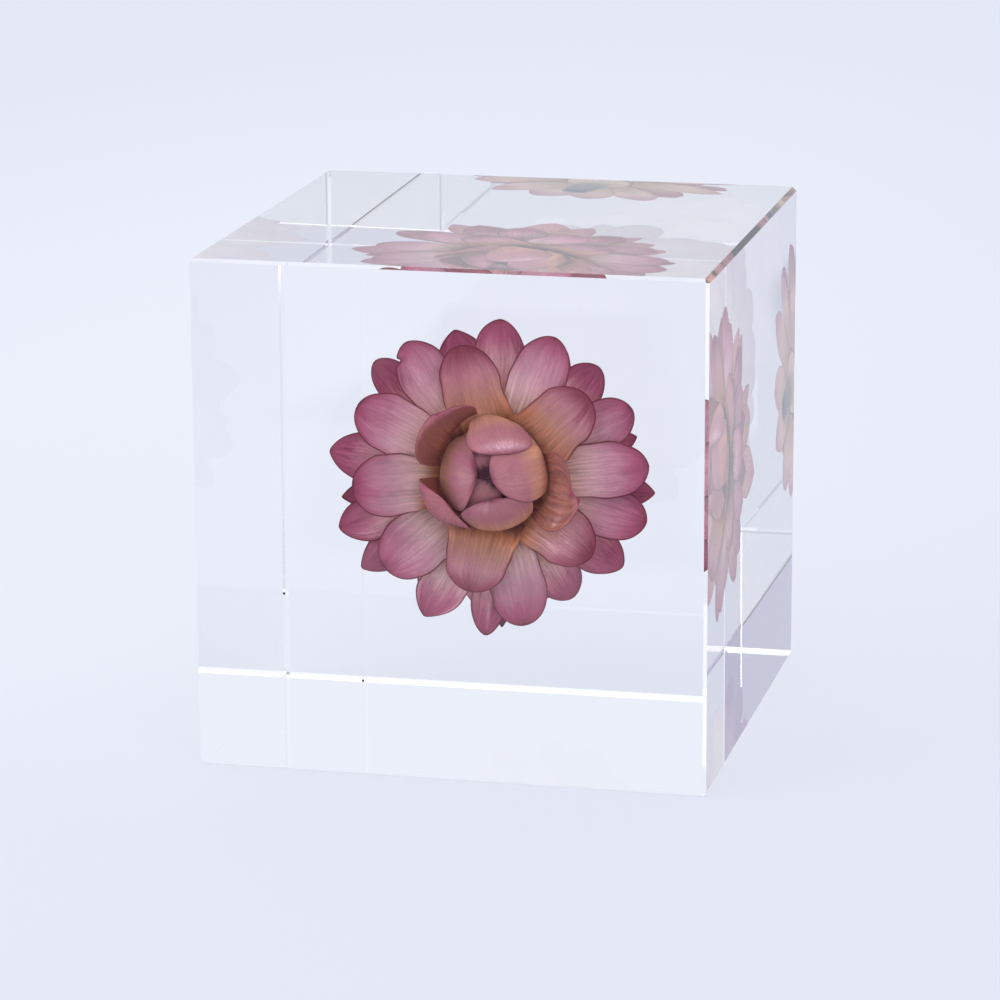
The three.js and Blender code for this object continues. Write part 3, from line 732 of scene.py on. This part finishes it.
def stub_skin():
    """Dry stem: grey-blue in the hollow end, straw-coloured up the side, dark brown under the bud."""
    finish = Finish("stem_stub_skin")
    height, radius = finish.mark("height"), finish.mark("radius")
    grain = finish.noise(finish.value("ShaderNodeTexCoord", {}, {}, "Object"), 1400.0, 4.0)
    colour = finish.ramp((height + grain * 0.5 + 6.8) / 10.0,
                         ((0.0, linear(96, 104, 124)), (0.2, linear(128, 120, 110)), (0.32, STRAW),
                          (0.5, BROWN), (0.7, UMBER)))
    dark = finish.mixed(1.0 - finish.eased(radius, 0.7, 1.1), colour, linear(58, 62, 78))
    relief = finish.value("ShaderNodeBump", {}, {"Strength": 0.6, "Distance": 0.1 * MM, "Height": grain})
    return finish.output(finish.value("ShaderNodeBsdfPrincipled", {}, {
        "Base Color": dark, "Roughness": 0.8, "Normal": relief}))


# Floor's own glow in front of the block, behind it and far away, that of the strip and the cards, the
# paints of the floor and the strip, and the floor's palest place, round which it fades more slowly in y
FRONT_GLOW = (0.645, 0.67, 0.76)
BEHIND_GLOW = (0.69, 0.72, 0.795)
FAR_GLOW = (0.615, 0.64, 0.74)
STRIP_GLOW = (0.06, 0.06, 0.10)
CARD_GLOW = (4.2, 3.9, 3.9)
FLOOR_PAINT = (0.095, 0.098, 0.105)
STRIP_PAINT = (0.03, 0.03, 0.04)
PALEST_X = -0.06
PALEST_Y = 0.06
SLOWER_IN_Y = 0.4

# Dark strip: slope and place of its middle line, its middle along y, and where its sides, ends and left
# limit fade out
STRIP_SLOPE = 0.24
STRIP_X = 0.0094
STRIP_Y = -0.14
STRIP_SIDES = (0.016, 0.022)
STRIP_ENDS = (0.05, 0.06)
STRIP_LEFT = (-0.0445, -0.0405)


def sweep_paper():
    """Pale studio floor that glows a little of itself, palest to the left of the block. Out of the
    picture, a dark strip in front is what the front of the block mirrors over the flower, and bright
    cards to the left and right of that strip light the flower from below."""
    finish = Finish("studio_floor")
    place = finish.value("ShaderNodeTexCoord", {}, {}, "Object")
    parts = finish.node("ShaderNodeSeparateXYZ", {}, {0: place})
    x, y = (Socket(finish, part) for part in parts.outputs[:2])
    across, beyond = x - PALEST_X, (y - PALEST_Y) * SLOWER_IN_Y
    away = (across * across + beyond * beyond) ** 0.5 + finish.noise(place, 3.0, 2.0) * 0.01
    aside, ahead = abs(x - y * STRIP_SLOPE - STRIP_X), abs(y - STRIP_Y)
    in_line = (1.0 - finish.eased(aside, *STRIP_SIDES)) * (1.0 - finish.eased(ahead, *STRIP_ENDS))
    strip = in_line * finish.eased(x, *STRIP_LEFT)
    beside = finish.eased(abs(x + 0.012), 0.085, 0.115) * (1.0 - finish.eased(abs(x), 0.3, 0.4))
    cards = beside * (1.0 - finish.eased(y, -0.06, -0.02)) * finish.eased(y, -0.4, -0.3)
    near = finish.mixed(finish.eased(y, -0.04, 0.01), FRONT_GLOW, BEHIND_GLOW)
    pale = finish.mixed(finish.eased(away, 0.02, 0.17), near, FAR_GLOW)
    dimmed = finish.mixed(strip, pale, STRIP_GLOW)
    glow = finish.mixed(cards, dimmed, CARD_GLOW)
    paint = finish.mixed(strip, FLOOR_PAINT, STRIP_PAINT)
    return finish.output(finish.value("ShaderNodeBsdfPrincipled", {}, {
        "Base Color": paint, "Roughness": 0.9, "Specular IOR Level": 0.0, "Emission Color": glow,
        "Emission Strength": 1.0}))


# Pieces

SEED = 7


def dressed(piece, finish, slot, *nodes):
    """Gives a piece its finish and its place among the part's nodes."""
    piece.data.materials.append(finish)
    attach(piece, "root")
    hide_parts(*nodes)
    return piece


def resin_block():
    """The clear block stands for both halves of the casting: a cube with a flat chamfer on each edge."""
    half = CUBE / 2 * MM
    signs = np.array([(x, y, z) for x in (-1, 1) for y in (-1, 1) for z in (-1, 1)])
    faces = np.array(((0, 1, 3, 2), (4, 6, 7, 5), (0, 4, 5, 1), (2, 3, 7, 6), (0, 2, 6, 4), (1, 5, 7, 3)))
    block = new_piece("resin_block", signs * half + (0, 0, half), faces, smooth=False)
    ends = np.empty(2 * len(block.data.edges), int)
    block.data.edges.foreach_get("vertices", ends)
    middles = signs[ends.reshape(-1, 2)].sum(1) // 2
    widths = np.array([SPECIAL_CHAMFERS.get(tuple(middle.tolist()), CHAMFER) for middle in middles])
    share = block.data.attributes.new("bevel_weight_edge", "FLOAT", "EDGE")
    share.data.foreach_set("value", (widths / widths.max()).astype(np.float32))
    edges = block.modifiers.new("chamfers", "BEVEL")
    edges.width, edges.segments, edges.limit_method = widths.max() * MM, 1, "WEIGHT"
    return dressed(block, resin(), "resin", "resin_front", "resin_back")


def flat_ring(kind, rows, finish, draws):
    """One ring of flat bracts, each with its own draws and tone."""
    for number, row in enumerate(rows, 1):
        name = f"{kind}_bract_{number}"
        surface = flat_bract(name, row, RINGS[kind], draws)
        dressed(shell(name, surface, draws.uniform(-1, 1)), finish, f"{kind}_bract", name)


def round_bracts(kind, surface, rows, finish, draws):
    """The cup or bud bracts, each with its own tone."""
    for number, row in enumerate(rows, 1):
        name = f"{kind}_bract_{number}"
        dressed(shell(name, surface(*row), draws.uniform(-1, 1)), finish, f"{kind}_bract", name)


def flower_head():
    """All bracts from the outermost in, then those at the back, round the bud, in it and the stub."""
    draws = np.random.default_rng(SEED)
    flat_ring("outer", OUTER_BRACTS, outer_paper(), draws)
    flat_ring("middle", MIDDLE_BRACTS, middle_paper(), draws)
    flat_ring("inner", INNER_BRACTS, inner_paper(), draws)
    flat_ring("back", BACK_BRACTS, back_paper(), draws)
    round_bracts("cup", cup_bract, CUP_BRACTS, cup_paper(), draws)
    round_bracts("bud", bud_bract, BUD_BRACTS, bud_paper(), draws)
    stub = turned("receptacle_and_stub", RECEPTACLE, RECEPTACLE_ROWS, RECEPTACLE_SIDES)
    dressed(stub, stub_skin(), "receptacle", "receptacle")


# Studio

def studio_floor():
    """A flat square under the block, a hair below its base."""
    reach = FLOOR_SIZE / 2
    corners = np.array(((-reach, -reach), (reach, -reach), (reach, reach), (-reach, reach)))
    points = np.column_stack((corners, np.full(4, -FLOOR_DROP)))
    floor = new_piece("studio_floor", points, np.array(((0, 1, 2, 3),)))
    floor.data.materials.append(sweep_paper())


# Light of the sweep, the room in front, the cards, the key light and the front light, and the ways that
# the last two come from, to the right, back and up, with the edges of their pools
SWEEP_LIGHT = (0.87, 0.905, 0.985)
ROOM_LIGHT = (0.37, 0.34, 0.55)
CARD_LIGHT = (5.6, 5.1, 5.1)
KEY_LIGHT = (1.7, 1.75, 1.85)
FRONT_LIGHT = (2.3, 2.2, 2.35)
KEY_FROM = (-0.55, 0.5, 0.67)
FRONT_FROM = (-0.28, -0.6, 0.75)
POOL_EDGE = (0.5, 0.95)


def studio_light():
    """A pale sweep all round, soft light from high behind to the left and from high in front, two
    bright cards low in front to the left and right, of which the right one stops short of straight
    right, and a darker room between them."""
    world = Finish("studio", "worlds")
    direction = world.value("ShaderNodeTexCoord", {}, {}, "Generated")
    parts = world.node("ShaderNodeSeparateXYZ", {}, {0: direction})
    right, back, up = (Socket(world, part) for part in parts.outputs)
    ahead = world.eased(0.0 - back, 0.2, 0.45)
    low = 1.0 - world.eased(up, 0.4, 0.6)
    high = 1.0 - low
    room = ahead * low * (1.0 - world.eased(abs(right + 0.1), 0.38, 0.5))
    beside = world.eased(abs(right + 0.1), 0.42, 0.55) * (1.0 - world.eased(right, 0.84, 0.9))
    cards = ahead * low * beside
    key, front = (high * world.eased(right * way[0] + back * way[1] + up * way[2], *POOL_EDGE)
                  for way in (KEY_FROM, FRONT_FROM))
    sweep = world.mixed(room, SWEEP_LIGHT, ROOM_LIGHT)
    carded = world.mixed(cards, sweep, CARD_LIGHT)
    lit = world.mixed(key, carded, KEY_LIGHT)
    colour = world.mixed(front, lit, FRONT_LIGHT)
    glow = world.value("ShaderNodeBackground", {}, {"Color": colour, "Strength": 1.0})
    world.node("ShaderNodeOutputWorld", {}, {"Surface": glow})
    bpy.context.scene.world = world.data


def camera():
    """The photograph's camera: azimuth, elevation and roll about the target, with no shift."""
    azimuth, elevation, roll = np.radians((CAMERA_AZIMUTH, CAMERA_ELEVATION, CAMERA_ROLL))
    back = Vector((np.sin(azimuth) * np.cos(elevation), -np.cos(azimuth) * np.cos(elevation),
                   np.sin(elevation)))
    right = Vector((np.cos(azimuth), np.sin(azimuth), 0))
    up = back.cross(right)
    turned_right = np.cos(roll) * right + np.sin(roll) * up
    turned_up = np.cos(roll) * up - np.sin(roll) * right
    data = bpy.data.cameras.new("camera")
    data.lens, data.sensor_width = LENS, SENSOR
    data.clip_start = NEAREST
    eye = bpy.data.objects.new("camera", data)
    bpy.context.scene.collection.objects.link(eye)
    place = CAMERA_TARGET + CAMERA_DISTANCE * back
    eye.matrix_world = Matrix((turned_right, turned_up, back)).transposed().to_4x4()
    eye.location = place
    bpy.context.scene.camera = eye


camera()
resin_block()
flower_head()
studio_floor()
studio_light()
bpy.context.scene.view_settings.view_transform = "Standard"
